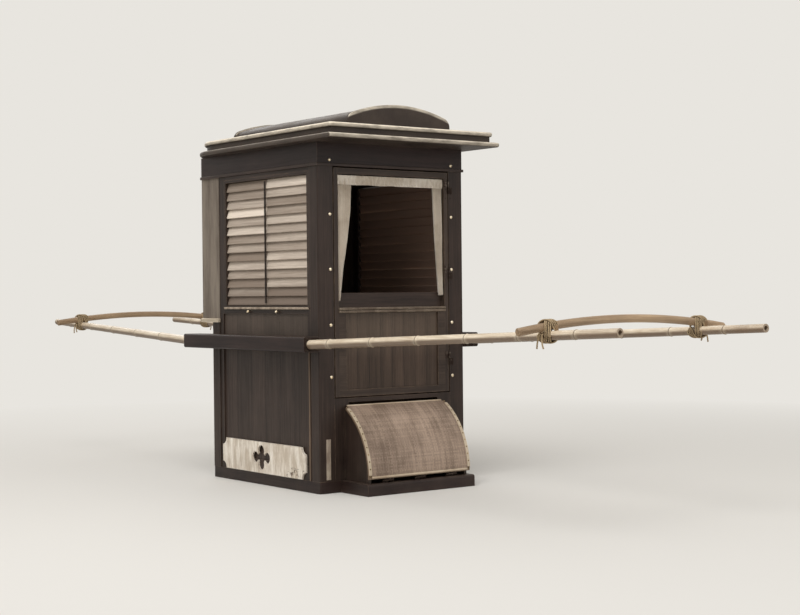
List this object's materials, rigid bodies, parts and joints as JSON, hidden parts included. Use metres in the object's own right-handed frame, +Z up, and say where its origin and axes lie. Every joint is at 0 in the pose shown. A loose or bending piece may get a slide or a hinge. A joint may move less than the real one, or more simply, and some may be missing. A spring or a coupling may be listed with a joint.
{
  "type": "sedan chair",
  "caption": "Closed sedan chair with louvred sides, curtained front door, curved foot apron, vaulted roof and bamboo carrying poles joined by yokes.",
  "frame": {"origin": "on the ground, below the middle of the carrying poles", "axes": "+Z up, -Y towards the front where the door is, +X the chair's own left"},
  "size_m": [1.0436, 4.362, 1.6489],
  "materials": {
    "dark_lacquer": "satin lacquer, worn at the edges",
    "louvre_paint": "old oil paint, dusty",
    "pale_paint": "matt oil paint, weathered",
    "roof_paint": "painted boards with worn pale lips",
    "bare_wood": "oiled wood",
    "woven_cane": "fine woven cane",
    "split_bamboo": "split bamboo, varnished",
    "bamboo": "smooth polished cane",
    "yoke_wood": "hand-worn hardwood",
    "rope": "twisted fibre",
    "iron": "forged, dark",
    "brass": "dull polished",
    "cotton": "plain woven cotton",
    "cushion_cloth": "quilted cotton"
  },
  "bodies": {
    "root": {"back_bay": "pale_paint", "back_cushion": "cushion_cloth", "back_ledge": "dark_lacquer", "back_panel": "dark_lacquer", "base_frame": "bare_wood", "ceiling": "bare_wood", "corner_posts": "dark_lacquer", "fixed_hinges": "brass", "floor_boards": "bare_wood", "foot_board": "bare_wood", "foot_cheeks": "dark_lacquer", "frieze": "dark_lacquer", "frieze_bead": "dark_lacquer", "front_frame": "dark_lacquer", "front_yoke": "yoke_wood", "louvre_slats_left": "louvre_paint", "louvre_slats_right": "louvre_paint", "pole_ferrules": "iron", "pole_housings": "dark_lacquer", "pole_left": "bamboo", "pole_right": "bamboo", "rear_yoke": "yoke_wood", "roof_cove": "roof_paint", "roof_crown": "roof_paint", "roof_eave": "roof_paint", "roof_lip": "roof_paint", "seat_board": "bare_wood", "seat_cushion": "cushion_cloth", "seat_front": "bare_wood", "shutter_frames": "dark_lacquer", "shutter_knobs": "brass", "shutter_sills": "dark_lacquer", "side_frame_left": "dark_lacquer", "side_frame_right": "dark_lacquer", "side_panels": "dark_lacquer", "side_plates": "pale_paint", "tilt_bars": "dark_lacquer", "yoke_lashings": "rope", "yoke_pegs": "yoke_wood"},
    "door": {"door_frame": "dark_lacquer", "door_panel": "dark_lacquer", "door_mouldings": "dark_lacquer", "sash_rail": "dark_lacquer", "door_fittings": "brass", "curtain_rod": "brass", "curtain_valance": "cotton", "curtain_drapes": "cotton"},
    "apron": {"apron_sheet": "woven_cane", "apron_rim": "split_bamboo", "apron_batten": "dark_lacquer", "apron_hinges": "brass"}
  },
  "joints": [
    {"name": "door_hinge", "type": "hinge", "parent": "root", "child": "door", "pos_m": [0.3095, -0.441, 0.9], "axis": [0, 0, 1], "range_deg": [0, 90]},
    {"name": "apron_hinge", "type": "hinge", "parent": "root", "child": "apron", "pos_m": [0, -0.617, 0.059], "axis": [1, 0, 0], "range_deg": [0, 80]}
  ]
}
